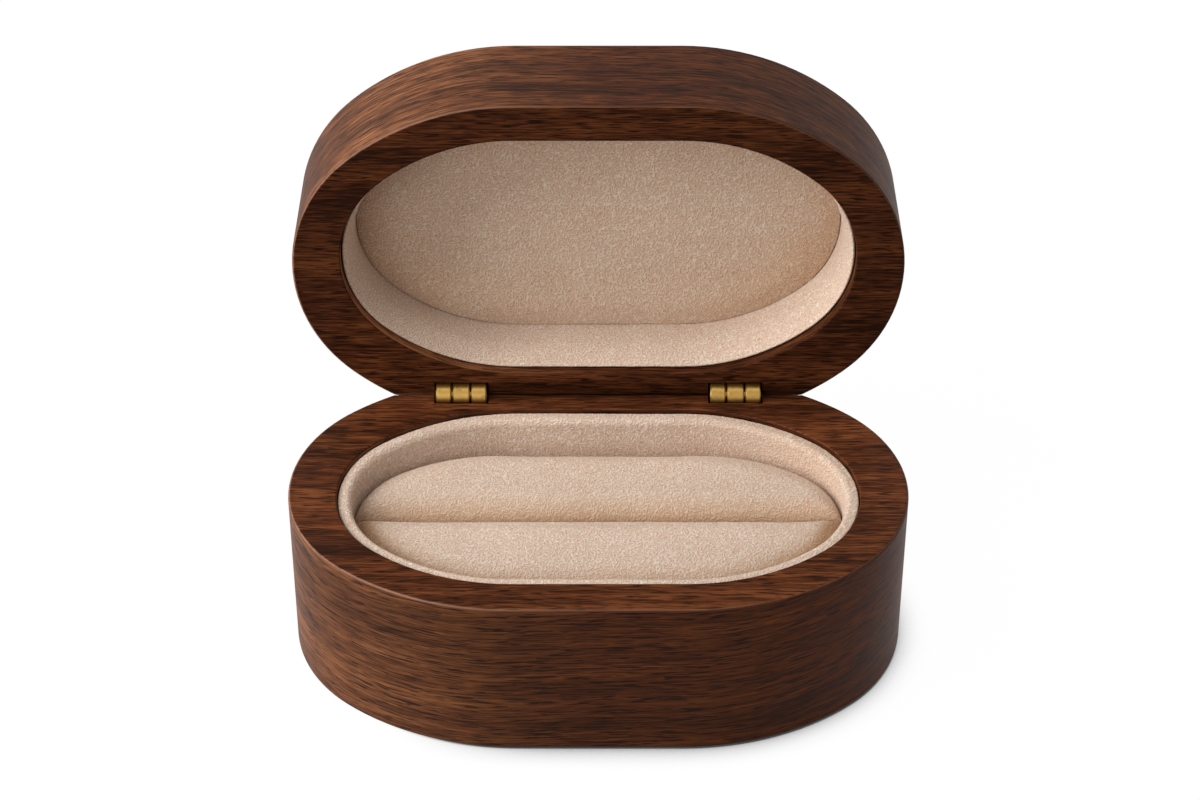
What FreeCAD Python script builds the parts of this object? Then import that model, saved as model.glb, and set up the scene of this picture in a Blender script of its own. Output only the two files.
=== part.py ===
# Oval walnut ring box, standing open: suede linings, two ring rolls, a padded lid and two brass hinges.
# Millimetres. The origin is the middle of the underside, X runs along the box, the front is at -Y, Z is up.
import FreeCAD, Part
import Sketcher
import collections
import math
import os

Vector = FreeCAD.Vector

# Driving sizes: millimetres, degrees for open_angle, and shares
sizes = {
    # Oval outline
    "box_length": 150,
    "box_width": 89.6,
    "flat_share": 0.676,        # straight stretch of a side, of the length less the width
    "tip_share": 0.875,         # radius at the ends of the oval, of half the width
    # Wooden halves
    "base_height": 44.4,
    "lid_height": 33.1,
    "floor_thickness": 7,
    "top_thickness": 8,
    "rim_width": 11.85,
    "pocket_shift": 2.4,        # pockets lie this far forward, to leave wood for the hinges
    "rim_rounding": 0.8,
    "pocket_rounding": 0.4,
    "outer_rounding": 1.4,
    # Hinge line and the bevels that stop the lid
    "axis_inset": 8.4,
    "open_angle": 95,
    "closing_gap": 0.2,
    "stop_gap": 0.2,
    "bevel_rounding": 1.2,
    # Hinges
    "hinge_spacing": 68.6,
    "hinge_length": 12.6,
    "middle_knuckle": 4.2,
    "knuckle_gap": 0.4,
    "barrel_radius": 3.2,
    "barrel_chamfer": 0.3,
    "pin_radius": 1.2,
    "pin_clearance": 0.05,
    "leaf_thickness": 1,
    "leaf_reach": 7.6,          # from the axis to the leaf's far edge
    "barrel_clearance": 0.3,
    "notch_clearance": 0.5,     # at each end of the barrel
    "mortise_clearance": 0.1,
    # Hinge screws
    "screw_spread": 7.2,
    "screw_length": 5,
    "screw_tip": 1.2,
    "shank_radius": 0.6,
    "head_radius": 1.0,
    "head_depth": 0.5,
    "slot_width": 0.3,
    "slot_depth": 0.2,
    "screw_clearance": 0.05,
    # Wall linings: suede folded over a card strip, padded on the inner side
    "lining_gap": 0.3,
    "suede_thickness": 0.7,
    "card_thickness": 0.8,
    "base_padding": 1.5,
    "lid_padding": 0.6,
    "base_lining_cap": 1.6,     # from the lining's edge to its card
    "lid_lining_cap": 8,
    "fold_rounding": 0.3,       # at the back of the fold, by the wood
    "base_lining_rounding": 1.4,
    "lid_edge_width": 0.45,     # the lid's lining is thin at its edge and slopes to its full thickness
    "lid_edge_slope": 8,
    "base_lining_drop": 1.0,
    "lid_lining_drop": 2.9,
    "glue_gap": 0.1,
    # Ring rolls and lid pad
    "insert_gap": 0.3,
    "slit_gap": 0.6,
    "crest_drop": 5.9,
    "wall_round": 13,
    "tip_round": 5,
    "slit_round": 5,
    "roll_cover": 1.2,
    "pad_foam": 4.7,
    "pad_cover": 1.0,
    "pad_rounding": 0.8,
    # Cuts run this far past the wood
    "overrun": 5,
}

# Sizes worked out from the driving ones
derived = {
    "half_width": "box_width / 2",
    "flat_half": "flat_share * (box_length - box_width) / 2",
    "end_half": "box_length / 2 - flat_half",
    "tip_radius": "tip_share * half_width",
    "tip_centre": "box_length / 2 - tip_radius",
    "shoulder_radius": "(end_half ^ 2 + half_width ^ 2 - 2 * end_half * tip_radius)"
                       " / (2 * (half_width - tip_radius))",
    "axis_y": "half_width - axis_inset",
    "axis_z": "base_height + closing_gap / 2",
    "rim_offset": "closing_gap / 2",
    "pocket_y": "axis_y + pocket_shift",
    "base_pocket": "base_height - floor_thickness",
    "lid_pocket": "lid_height - top_thickness",
    # Profile of the rear bevel, seen from the end
    "bevel_angle": "open_angle / 2",
    "bevel_corner": "(cos(bevel_angle) * closing_gap - stop_gap) / (2 * sin(bevel_angle))",
    "bevel_setback": "bevel_rounding * tan(bevel_angle / 2)",
    "bevel_start": "bevel_corner - bevel_setback",
    "bevel_turn": "bevel_corner + bevel_setback * cos(bevel_angle)",
    "bevel_turn_depth": "rim_offset + bevel_setback * sin(bevel_angle)",
    "bevel_far": "axis_inset + overrun",
    "bevel_far_depth": "rim_offset + (bevel_far - bevel_corner) * tan(bevel_angle)",
    # Hinges
    "hinge_x": "hinge_spacing / 2",
    "outer_knuckle": "(hinge_length - middle_knuckle) / 2 - knuckle_gap",
    "leaf_start": "barrel_radius + barrel_clearance",
    "leaf_face": "stop_gap / 2",
    "screw_y": "(leaf_start + leaf_reach) / 2",
    # Layers of the wall linings, each as an inset from the outline
    "lining_outer": "rim_width + lining_gap",
    "sleeve_outer": "lining_outer + suede_thickness",
    "card_outer": "sleeve_outer + glue_gap",
    "card_inner": "card_outer + card_thickness",
    "sleeve_inner": "card_inner + glue_gap",
    "base_lining_inner": "sleeve_inner + base_padding",
    "lid_lining_inner": "sleeve_inner + lid_padding",
    "base_insert": "base_lining_inner + insert_gap",
    "lid_insert": "lid_lining_inner + insert_gap",
    # Depths below the rims
    "base_sleeve": "base_lining_drop + base_lining_cap",
    "base_card_top": "base_sleeve + glue_gap",
    "lid_sleeve": "lid_lining_drop + lid_lining_cap",
    "lid_card_top": "lid_sleeve + glue_gap",
    "lid_edge_inset": "lining_outer + lid_edge_width",
    "lid_edge_angle": "atan((lid_lining_inner - lid_edge_inset) / lid_edge_slope)",
    "floor_card_top": "base_pocket - card_thickness",
    "pad_card_top": "lid_pocket - card_thickness",
    "pad_foam_top": "pad_card_top - pad_foam",
    "pad_hollow": "pad_foam_top - glue_gap",
    "pad_face": "pad_hollow - pad_cover",
    "pad_skin": "lid_insert + pad_cover",
    "pad_core": "pad_skin + glue_gap",
}

doc = FreeCAD.newDocument("ring_box")
sheet = doc.addObject("Spreadsheet::Sheet", "Sizes")
cells = [(name, str(number)) for name, number in sizes.items()]
cells += [(name, "=" + formula) for name, formula in derived.items()]
for row, (name, content) in enumerate(cells, start=1):
    sheet.set(f"A{row}", name)
    sheet.set(f"B{row}", content)
    sheet.setAlias(f"B{row}", name)
doc.recompute()

# The two halves are drawn shut, from the hinge axis: the base lies below it and the lid above it
Half = collections.namedtuple("Half", "name sign away direction")
base = Half("base", "-", "+", -1)
lid = Half("lid", "+", "-", 1)
sides = {"left": "-", "right": "+"}

nodes = []
plane_match = 1e-4


def value(name):
    known = name in sizes or name in derived
    return float(sheet.get(name)) if known else float(name)


def bind(item, formulas):
    # The words of a formula that are sizes become references to their cells
    for path, formula in formulas.items():
        words = [f"Sizes.{word}" if word in sizes or word in derived else word for word in formula.split()]
        item.setExpression(path, " ".join(words))


def finish(item, label, half):
    # Moves a piece from the hinge axis to its place in the box, with the lid swung open
    item.Label = label
    if half is lid:
        item.Placement = FreeCAD.Placement(Vector(), FreeCAD.Rotation(Vector(-1, 0, 0), 0))
        bind(item, {"Placement.Rotation.Angle": "open_angle"})
    bind(item, {"Placement.Base.y": "axis_y", "Placement.Base.z": "axis_z"})
    nodes.append(item)


def attach(body, name, role):
    sketch = body.newObject("Sketcher::SketchObject", name)
    support = next(item for item in body.Origin.OriginFeatures if item.Role == role)
    sketch.AttachmentSupport = [(support, "")]
    sketch.MapMode = "FlatFace"
    return sketch


def dimension(sketch, name, constraint, formula):
    sketch.renameConstraint(sketch.addConstraint(constraint), name)
    bind(sketch, {f"Constraints.{name}": formula})


def arc(x, y, radius, start, end):
    return Part.ArcOfCircle(Part.Circle(Vector(x, y, 0), Vector(0, 0, 1), radius), start, end)


def add_oval(sketch, inset):
    # Two straight sides, four shoulder arcs and two tip arcs, all inset alike from the box's outline
    flat = value("flat_half")
    tip_x = value("tip_centre")
    side = value("half_width") - value(inset)
    tip_radius = value("tip_radius") - value(inset)
    shoulder_radius = value("shoulder_radius") - value(inset)
    shoulder_y = side - shoulder_radius
    joint = math.atan2(-shoulder_y, tip_x - flat)
    half_turn = math.pi
    quarter = half_turn / 2
    first = sketch.GeometryCount
    sketch.addGeometry([
        Part.LineSegment(Vector(flat, side, 0), Vector(-flat, side, 0)),
        arc(-flat, shoulder_y, shoulder_radius, quarter, half_turn - joint),
        arc(-tip_x, 0, tip_radius, half_turn - joint, half_turn + joint),
        arc(-flat, -shoulder_y, shoulder_radius, half_turn + joint, half_turn + quarter),
        Part.LineSegment(Vector(-flat, -side, 0), Vector(flat, -side, 0)),
        arc(flat, -shoulder_y, shoulder_radius, half_turn + quarter, 2 * half_turn - joint),
        arc(tip_x, 0, tip_radius, -joint, joint),
        arc(flat, shoulder_y, shoulder_radius, joint, quarter),
    ], False)
    edges = range(first, sketch.GeometryCount)
    rear, rear_left, left_tip, front_left, front, front_right, right_tip, rear_right = edges
    for edge, following in zip(edges, [*edges[1:], rear]):
        sketch.addConstraint(Sketcher.Constraint("Tangent", edge, 2, following, 1))
    for shoulder in (rear_left, front_left, front_right):
        sketch.addConstraint(Sketcher.Constraint("Equal", shoulder, rear_right))
    sketch.addConstraint(Sketcher.Constraint("Equal", left_tip, right_tip))
    sketch.addConstraint(Sketcher.Constraint("Horizontal", rear))
    sketch.addConstraint(Sketcher.Constraint("Horizontal", front))
    sketch.addConstraint(Sketcher.Constraint("PointOnObject", right_tip, 3, -1))
    sketch.addConstraint(Sketcher.Constraint("Symmetric", left_tip, 3, right_tip, 3, -2))
    for name, constraint, formula in (
        ("tip", Sketcher.Constraint("Radius", right_tip, tip_radius), f"tip_radius - {inset}"),
        ("bend", Sketcher.Constraint("Radius", rear_right, shoulder_radius), f"shoulder_radius - {inset}"),
        ("reach", Sketcher.Constraint("DistanceX", -1, 1, right_tip, 3, tip_x), "tip_centre"),
        ("back", Sketcher.Constraint("DistanceY", -1, 1, rear, 1, side), f"half_width - {inset}"),
        ("face", Sketcher.Constraint("DistanceY", -1, 1, front, 1, -side), f"{inset} - half_width"),
    ):
        dimension(sketch, f"{name}{first}", constraint, formula)


def oval_sketch(body, name, half, insets, depth, centre):
    sketch = attach(body, name, "XY_Plane")
    bind(sketch, {"AttachmentOffset.Base.y": f"- {centre}"})
    bind(sketch, {"AttachmentOffset.Base.z": f"{half.sign} ( rim_offset + {depth} )"})
    for inset in insets:
        add_oval(sketch, inset)
    return sketch


def pad_ovals(body, name, half, insets, depth, length, centre="pocket_y"):
    # Solid oval or ring, from one depth below the rim away from it
    feature = body.newObject("PartDesign::Pad", name)
    feature.Profile = oval_sketch(body, f"{name}_sketch", half, insets, depth, centre)
    feature.Reversed = half is base
    bind(feature, {"Length": length})
    doc.recompute()


def cut_ovals(body, name, half, insets, depth, length, towards_rim=False, taper="0"):
    before = body.Tip.Shape.Volume
    feature = body.newObject("PartDesign::Pocket", name)
    feature.Profile = oval_sketch(body, f"{name}_sketch", half, insets, depth, "pocket_y")
    feature.Reversed = (half is lid) != towards_rim
    bind(feature, {"Length": length, "TaperAngle": taper})
    doc.recompute()
    check_cut(feature, before)


def check_cut(feature, before):
    if not feature.Shape.Volume < before:
        raise RuntimeError(f"{feature.Label} cuts nothing")


def round_level(body, name, half, depth, radius, hole=False):
    # Rounds the outside of the flat face at one depth below the rim, or the edge of its hole
    level = half.direction * (value("rim_offset") + value(depth))
    face = next(face for face in body.Tip.Shape.Faces
                if max(abs(face.BoundBox.ZMin - level), abs(face.BoundBox.ZMax - level)) < plane_match)
    wires = [wire for wire in face.Wires if wire.isSame(face.OuterWire) != hole]
    flat_edges = [f"Edge{number}" for number, edge in enumerate(body.Tip.Shape.Edges, start=1)
                  if any(edge.isSame(other) for wire in wires for other in wire.Edges)]
    rounded = body.Tip
    feature = body.newObject("PartDesign::Fillet", name)
    feature.Base = (rounded, flat_edges)
    bind(feature, {"Radius": radius})
    doc.recompute()


def bevel(body, half):
    # Wedge behind the hinge axis, with the rim's edge rounded: the two bevels meet when the lid is open
    sketch = attach(body, f"{half.name}_bevel_sketch", "YZ_Plane")
    corners = (
        ("bevel_turn", half.sign, "bevel_turn_depth"),
        ("bevel_far", half.sign, "bevel_far_depth"),
        ("bevel_far", half.away, "overrun"),
        ("bevel_start", half.away, "overrun"),
        ("bevel_start", half.sign, "rim_offset"),
    )
    points = [Vector(value(across), value(up) if sign == "+" else -value(up), 0)
              for across, sign, up in corners]
    for start, end in zip(points, points[1:]):
        sketch.addGeometry(Part.LineSegment(start, end), False)
    radius = value("bevel_rounding")
    top = -half.direction * math.pi / 2
    turned = top + half.direction * math.radians(value("bevel_angle"))
    centre = points[-1] + Vector(0, half.direction * radius, 0)
    rounding = sketch.addGeometry(arc(centre.x, centre.y, radius, *sorted((top, turned))), False)
    turn_end, top_end = (1, 2) if half is base else (2, 1)
    for line in range(3):
        sketch.addConstraint(Sketcher.Constraint("Coincident", line, 2, line + 1, 1))
    sketch.addConstraint(Sketcher.Constraint("Coincident", 0, 1, rounding, turn_end))
    sketch.addConstraint(Sketcher.Constraint("Coincident", 3, 2, rounding, top_end))
    dimension(sketch, "bend", Sketcher.Constraint("Radius", rounding, radius), "bevel_rounding")
    ends = ((0, 1), (1, 1), (2, 1), (3, 1), (3, 2))
    for number, (end, point, (across, sign, up)) in enumerate(zip(ends, points, corners)):
        level = Sketcher.Constraint("DistanceX", -1, 1, *end, point.x)
        upright = Sketcher.Constraint("DistanceY", -1, 1, *end, point.y)
        dimension(sketch, f"level{number}", level, across)
        dimension(sketch, f"upright{number}", upright, f"{sign} {up}")
    before = body.Tip.Shape.Volume
    feature = body.newObject("PartDesign::Pocket", f"{half.name}_bevel")
    feature.Profile = sketch
    feature.Type = "ThroughAll"
    feature.Midplane = True
    doc.recompute()
    check_cut(feature, before)


# Hinge pieces are drawn round the axis at one hinge: X along the axis, Y down the bevel, Z out of the base


def box(name, length, width, height, x, y, z):
    item = doc.addObject("Part::Box", name)
    bind(item, {"Length": length, "Width": width, "Height": height})
    bind(item, {"Placement.Base.x": x, "Placement.Base.y": y, "Placement.Base.z": z})
    return item


def rod(name, radius, length, x):
    # Round bar along the hinge axis
    item = doc.addObject("Part::Cylinder", name)
    item.Placement = FreeCAD.Placement(Vector(), FreeCAD.Rotation(Vector(0, 0, 1), Vector(1, 0, 0)))
    bind(item, {"Radius": radius, "Height": length, "Placement.Base.x": x})
    return item


def chamfered(name, item):
    # Chamfers both ends of a bar
    feature = doc.addObject("Part::Chamfer", name)
    feature.Base = item
    doc.recompute()
    ends = [number for number, edge in enumerate(item.Shape.Edges, start=1) if edge.isClosed()]
    feature.Edges = [(number, value("barrel_chamfer"), value("barrel_chamfer")) for number in ends]
    return feature


def fuse(name, items):
    feature = doc.addObject("Part::MultiFuse", name)
    feature.Shapes = items
    feature.Refine = True
    return feature


def group(name, items):
    feature = doc.addObject("Part::Compound", name)
    feature.Links = items
    return feature


def cut(name, item, tool):
    feature = doc.addObject("Part::Cut", name)
    feature.Base = item
    feature.Tool = tool
    doc.recompute()
    check_cut(feature, item.Shape.Volume)
    return feature


def turn_down(item, half, side, swung):
    # Turns a piece from level to the slope of its bevel, and sets it at its hinge
    slope = -1 if half is base or swung else 1
    item.Placement = FreeCAD.Placement(Vector(), FreeCAD.Rotation(Vector(slope, 0, 0), 0))
    bind(item, {"Placement.Rotation.Angle": "bevel_angle", "Placement.Base.x": f"{sides[side]} hinge_x"})


def seat(item, label, half, side):
    turn_down(item, half, side, swung=True)
    item.Label = label
    bind(item, {"Placement.Base.y": "axis_y", "Placement.Base.z": "axis_z"})
    nodes.append(item)


def screw_form(name, half, end, room):
    # Countersunk head and shank, grown all round by the room given
    parts = []
    inward = FreeCAD.Rotation(Vector(0, 0, 1), Vector(0, 0, half.direction))
    for part, top, radius, tip_radius, height in (
        ("head", "0", f"head_radius + {room}", f"shank_radius + {room}", "head_depth"),
        ("shank", "head_depth", f"shank_radius + {room}", f"shank_radius + {room}",
         f"screw_length - screw_tip - head_depth + {room}"),
        ("tip", f"screw_length - screw_tip + {room}", f"shank_radius + {room}", "0", "screw_tip"),
    ):
        item = doc.addObject("Part::Cone" if part != "shank" else "Part::Cylinder", f"{name}_{part}")
        item.Placement = FreeCAD.Placement(Vector(), inward)
        bind(item, {"Height": height})
        bind(item, {"Radius": radius} if part == "shank" else {"Radius1": radius, "Radius2": tip_radius})
        bind(item, {"Placement.Base.x": f"{sides[end]} screw_spread / 2", "Placement.Base.y": "screw_y"})
        bind(item, {"Placement.Base.z": f"{half.sign} ( leaf_face + {top} )"})
        parts.append(item)
    return fuse(name, parts)


def screw(name, half, end):
    form = screw_form(f"{name}_form", half, end, "0")
    edge = f"{half.sign} leaf_face" + (" - slot_depth" if half is base else "")
    slot = box(f"{name}_slot", "2 * head_radius", "slot_width", "slot_depth",
               f"{sides[end]} screw_spread / 2 - head_radius", "screw_y - slot_width / 2", edge)
    return cut(name, form, slot)


def leaf(half, side):
    name = f"{side}_hinge_{half.name}_leaf"
    low = f"{half.sign} leaf_face" + (" - leaf_thickness" if half is base else "")
    pieces = [box(f"{name}_plate", "hinge_length", "leaf_reach - leaf_start", "leaf_thickness",
                  "- hinge_length / 2", "leaf_start", low)]
    if half is base:
        knuckles = [("outer_knuckle", "- hinge_length / 2"),
                    ("outer_knuckle", "hinge_length / 2 - outer_knuckle")]
    else:
        knuckles = [("middle_knuckle", "- middle_knuckle / 2")]
    for number, (length, x) in enumerate(knuckles):
        barrel = rod(f"{name}_barrel{number}", "barrel_radius", length, x)
        pieces.append(chamfered(f"{name}_knuckle{number}", barrel))
        pieces.append(box(f"{name}_tab{number}", length, "leaf_reach", "leaf_thickness", x, "0", low))
    tools = [rod(f"{name}_bore", "pin_radius + pin_clearance", "hinge_length", "- hinge_length / 2")]
    tools += [screw_form(f"{name}_{end}_hole", half, end, "screw_clearance") for end in sides]
    seat(cut(name, fuse(f"{name}_blank", pieces), fuse(f"{name}_holes", tools)), name, half, side)


def hinge_pin(side):
    name = f"{side}_hinge_pin"
    bar = rod(f"{name}_bar", "pin_radius", "hinge_length", "- hinge_length / 2")
    seat(group(name, [chamfered(f"{name}_turned", bar)]), name, base, side)


def hinge_screws(half):
    # The four screws of one half are alike, so they share a node
    name = f"{half.name}_hinge_screws"
    pairs = []
    for side in sides:
        pair = group(f"{name}_{side}", [screw(f"{name}_{side}_{end}", half, end) for end in sides])
        turn_down(pair, half, side, swung=False)
        pairs.append(pair)
    finish(group(name, pairs), name, half)


def hinge_seats(half):
    # Barrel notch, leaf mortise and screw holes at both hinges
    tools = []
    for side in sides:
        name = f"{half.name}_{side}_seat"
        low = f"{half.sign} leaf_face" + (" - leaf_thickness" if half is base else "")
        pieces = [
            rod(f"{name}_notch", "barrel_radius + barrel_clearance", "hinge_length + 2 * notch_clearance",
                "- hinge_length / 2 - notch_clearance"),
            box(f"{name}_mortise", "hinge_length + 2 * mortise_clearance", "leaf_reach + mortise_clearance",
                "leaf_thickness", "- hinge_length / 2 - mortise_clearance", "0", low),
        ]
        pieces += [screw_form(f"{name}_{end}_hole", half, end, "screw_clearance") for end in sides]
        tool = fuse(name, pieces)
        turn_down(tool, half, side, swung=False)
        tools.append(tool)
    return fuse(f"{half.name}_seats", tools)


def wooden_half(half):
    name = f"{half.name}_body"
    height = f"{half.name}_height"
    body = doc.addObject("PartDesign::Body", f"{half.name}_block")
    pad_ovals(body, f"{half.name}_solid", half, ["0"], "0", height, centre="axis_y")
    cut_ovals(body, f"{half.name}_opening", half, ["rim_width"], "0", f"{half.name}_pocket")
    round_level(body, f"{half.name}_rim", half, "0", "rim_rounding")
    round_level(body, f"{half.name}_opening_edge", half, "0", "pocket_rounding", hole=True)
    round_level(body, f"{half.name}_outer_edge", half, height, "outer_rounding")
    bevel(body, half)
    finish(cut(name, body, hinge_seats(half)), name, half)


def wall_lining(half):
    # Suede sleeve over the wall card: both stand on the pocket's floor
    name = f"{half.name}_wall_suede"
    floor = f"{half.name}_pocket"
    top = f"{half.name}_lining_drop"
    body = doc.addObject("PartDesign::Body", name)
    pad_ovals(body, f"{name}_ring", half, ["lining_outer", f"{half.name}_lining_inner"], top, f"{floor} - {top}")
    cut_ovals(body, f"{name}_sleeve", half, ["sleeve_outer", "sleeve_inner"], floor,
              f"{floor} - {half.name}_sleeve", towards_rim=True)
    if half is base:
        round_level(body, f"{name}_edge", half, top, "base_lining_rounding", hole=True)
    else:
        cut_ovals(body, f"{name}_slope", half, ["lid_edge_inset"], top, "lid_edge_slope + fold_rounding",
                  taper="- lid_edge_angle")
    round_level(body, f"{name}_fold", half, top, "fold_rounding")
    finish(body, name, half)
    name = f"{half.name}_wall_card"
    top = f"{half.name}_card_top"
    body = doc.addObject("PartDesign::Body", name)
    pad_ovals(body, f"{name}_ring", half, ["card_outer", "card_inner"], top, f"{floor} - {top}")
    finish(body, name, half)


def flat_sheet(name, half, inset, top, bottom):
    body = doc.addObject("PartDesign::Body", name)
    pad_ovals(body, f"{name}_sheet", half, [inset], top, f"{bottom} - {top}")
    finish(body, name, half)


def lid_pad():
    flat_sheet("lid_pad_card", lid, "pad_core", "pad_card_top", "lid_pocket")
    flat_sheet("lid_pad_foam", lid, "pad_core", "pad_foam_top", "pad_card_top")
    name = "lid_pad_suede"
    body = doc.addObject("PartDesign::Body", name)
    pad_ovals(body, f"{name}_pad", lid, ["lid_insert"], "pad_face", "lid_pocket - pad_face")
    cut_ovals(body, f"{name}_hollow", lid, ["pad_skin"], "lid_pocket", "lid_pocket - pad_hollow",
              towards_rim=True)
    round_level(body, f"{name}_edge", lid, "pad_face", "pad_rounding")
    finish(body, name, lid)


# Ring rolls: lofts along X through crowned sections, cut to the oval of the lining
roll_turns = 7
tip_turn_share = 0.1            # the last section, of the quarter turn from the tip
wall_round_limit_share = 0.5    # of a section's width
slit_round_limit_share = 0.45


def roll_stations(inset):
    # Places along half an end of the oval, as distance along X and room from the box's long axis
    stations = []
    flat = value("flat_half")
    shoulder_y = value("half_width") - value("shoulder_radius")
    joint = math.atan2(-shoulder_y, value("tip_centre") - flat)
    for number in range(roll_turns + 1):
        share = 1 - (1 - tip_turn_share) * number / roll_turns
        angle = share * math.pi / 2
        if angle > joint:
            x, y, radius = flat, shoulder_y, value("shoulder_radius") - inset
        else:
            x, y, radius = value("tip_centre"), 0, value("tip_radius") - inset
        stations.append((x + radius * math.cos(angle), y + radius * math.sin(angle)))
    return stations


def roll_section(x, room, direction, shrink, floor):
    # Upright section: slit wall, small round, crest, large round, outer wall and foot
    top = -value("rim_offset") - value("crest_drop") - shrink
    slit = value("slit_gap") / 2 + shrink
    width = room - slit
    run = (abs(x) - value("flat_half")) / (value("end_half") - value("base_insert"))
    wall_round = value("wall_round") + (value("tip_round") - value("wall_round")) * run - shrink
    wall_round = min(wall_round, wall_round_limit_share * width)
    slit_round = min(value("slit_round") - shrink, slit_round_limit_share * width)

    def at(y, z):
        return Vector(x, -value("pocket_y") + direction * y, z)

    def quarter(y, z, radius, start):
        turns = [start - step * math.pi / 4 for step in range(3)]
        return Part.Arc(*[at(y + radius * math.cos(turn), z + radius * math.sin(turn)) for turn in turns])

    slit_bend = quarter(slit + slit_round, top - slit_round, slit_round, math.pi)
    wall_bend = quarter(room - wall_round, top - wall_round, wall_round, math.pi / 2)
    edges = [
        Part.LineSegment(at(slit, floor), slit_bend.StartPoint),
        slit_bend,
        Part.LineSegment(slit_bend.EndPoint, wall_bend.StartPoint),
        wall_bend,
        Part.LineSegment(wall_bend.EndPoint, at(room, floor)),
        Part.LineSegment(at(room, floor), at(slit, floor)),
    ]
    return Part.Wire([edge.toShape() for edge in edges])


def roll_loft(direction, shrink, floor):
    stations = roll_stations(value("base_insert") + shrink)
    places = [(-x, room) for x, room in reversed(stations)] + stations
    sections = [roll_section(x, room, direction, shrink, floor) for x, room in places]
    return Part.makeLoft(sections, True, True)


def ring_roll(side, direction):
    floor = -value("rim_offset") - value("floor_card_top")
    form = roll_loft(direction, 0, floor)
    hollow = roll_loft(direction, value("roll_cover"), floor - value("overrun"))
    core = roll_loft(direction, value("roll_cover") + value("glue_gap"), floor)
    for piece, shape in (("suede", form.cut(hollow)), ("foam", core)):
        item = doc.addObject("Part::Feature", f"{side}_roll_{piece}")
        item.Shape = shape
        finish(item, f"{side}_roll_{piece}", base)


wooden_half(base)
wall_lining(base)
flat_sheet("base_floor_card", base, "base_insert", "floor_card_top", "base_pocket")
ring_roll("rear", 1)
ring_roll("front", -1)
wooden_half(lid)
wall_lining(lid)
lid_pad()
for hinge_side in sides:
    leaf(base, hinge_side)
    leaf(lid, hinge_side)
    hinge_pin(hinge_side)
hinge_screws(base)
hinge_screws(lid)
doc.recompute()

for item in doc.Objects:
    if "Invalid" in item.State or "Error" in item.State:
        raise RuntimeError(f"{item.Label} failed: {item.State}")
for item in nodes:
    if item.Shape.isNull() or not item.Shape.isValid():
        raise RuntimeError(f"{item.Label} has no valid shape")

os.makedirs("parts", exist_ok=True)
for item in nodes:
    item.Shape.exportStep(f"parts/{item.Label}.step")
    print(f"{item.Label}: {len(item.Shape.Solids)} solids, {item.Shape.Volume:.1f} mm3")
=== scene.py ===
import bpy
import math
import numpy as np
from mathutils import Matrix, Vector


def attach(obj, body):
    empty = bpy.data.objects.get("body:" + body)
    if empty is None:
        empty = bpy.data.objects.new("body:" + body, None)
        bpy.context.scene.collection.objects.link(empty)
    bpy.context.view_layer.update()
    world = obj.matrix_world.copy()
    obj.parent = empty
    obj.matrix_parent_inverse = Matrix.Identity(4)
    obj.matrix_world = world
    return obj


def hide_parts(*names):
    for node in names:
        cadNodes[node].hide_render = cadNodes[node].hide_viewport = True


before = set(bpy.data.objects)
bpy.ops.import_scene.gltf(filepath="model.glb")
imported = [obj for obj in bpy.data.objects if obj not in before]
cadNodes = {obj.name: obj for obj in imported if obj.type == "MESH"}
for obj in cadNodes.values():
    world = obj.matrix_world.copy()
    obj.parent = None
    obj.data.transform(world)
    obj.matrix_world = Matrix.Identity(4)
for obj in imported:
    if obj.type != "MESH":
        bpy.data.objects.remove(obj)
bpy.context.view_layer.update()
scene = bpy.context.scene
mm = 0.001
print("frame loaded:", len(cadNodes), "solids")

# Outline, heights and hinge line of the solids, in millimetres
ringBox = {
    "length": 150.0, "width": 89.6, "flatShare": 0.676, "tipShare": 0.875,
    "baseHeight": 44.4, "lidHeight": 33.1,
    "hingeY": 36.4, "hingeZ": 44.5, "openAngle": 95.0, "rimOffset": 0.1,
    "pocketY": -2.4,
}
halfWidth = ringBox["width"] / 2
flatHalf = ringBox["flatShare"] * (ringBox["length"] - ringBox["width"]) / 2
endHalf = ringBox["length"] / 2 - flatHalf
tipRadius = ringBox["tipShare"] * halfWidth
tipX = ringBox["length"] / 2 - tipRadius
shoulder = (endHalf ** 2 + halfWidth ** 2 - 2 * endHalf * tipRadius) / (2 * (halfWidth - tipRadius))
low = halfWidth - shoulder
joint = math.atan2(-low, tipX - flatHalf)


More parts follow.
